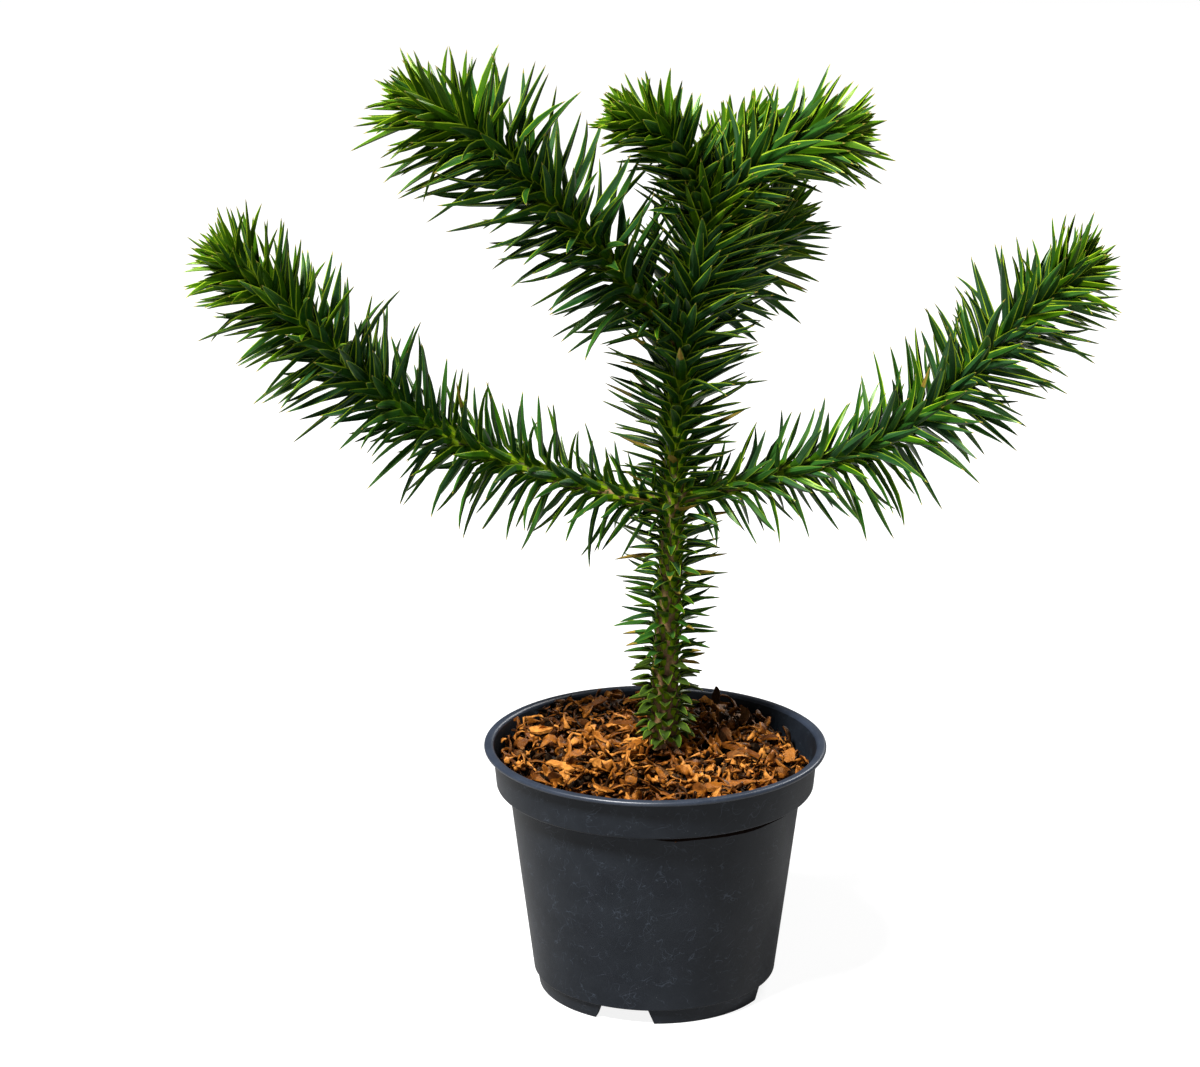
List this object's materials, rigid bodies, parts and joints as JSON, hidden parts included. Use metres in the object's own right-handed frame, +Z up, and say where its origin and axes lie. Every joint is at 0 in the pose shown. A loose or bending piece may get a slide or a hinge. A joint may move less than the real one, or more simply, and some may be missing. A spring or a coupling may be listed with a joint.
{
  "type": "potted young monkey puzzle tree",
  "caption": "Young monkey puzzle tree in a round nursery pot: a leafy leaning trunk with curved, upswept boughs ringed by stiff, pointed leaves.",
  "frame": {"origin": "on the floor under the pot's axis, at the middle of the foot ring", "axes": "+Z up along the pot's axis, +X towards the side of the lower right bough, -Y towards the front, where the upper left bough leans"},
  "size_m": [0.3442, 0.13, 0.3658],
  "materials": {
    "black_plastic": "matt, finely scuffed",
    "potting_mix": "rough shredded bark",
    "bark": "rough",
    "foliage": "leathery, faintly glossy",
    "young_foliage": "leathery, faintly glossy"
  },
  "bodies": {
    "root": {"pot": "black_plastic", "potting_mix": "potting_mix", "trunk": "bark", "lower_left_bough": "bark", "lower_right_bough": "bark", "upper_left_bough": "bark", "trunk_lower_foliage": "foliage", "trunk_upper_foliage": "foliage", "leader_foliage": "foliage", "lower_left_inner_foliage": "foliage", "lower_left_outer_foliage": "young_foliage", "lower_right_inner_foliage": "foliage", "lower_right_outer_foliage": "young_foliage", "upper_left_inner_foliage": "foliage", "upper_left_outer_foliage": "young_foliage", "top_right_foliage": "young_foliage", "top_left_foliage": "young_foliage", "top_back_foliage": "young_foliage", "back_right_foliage": "young_foliage"}
  },
  "joints": []
}
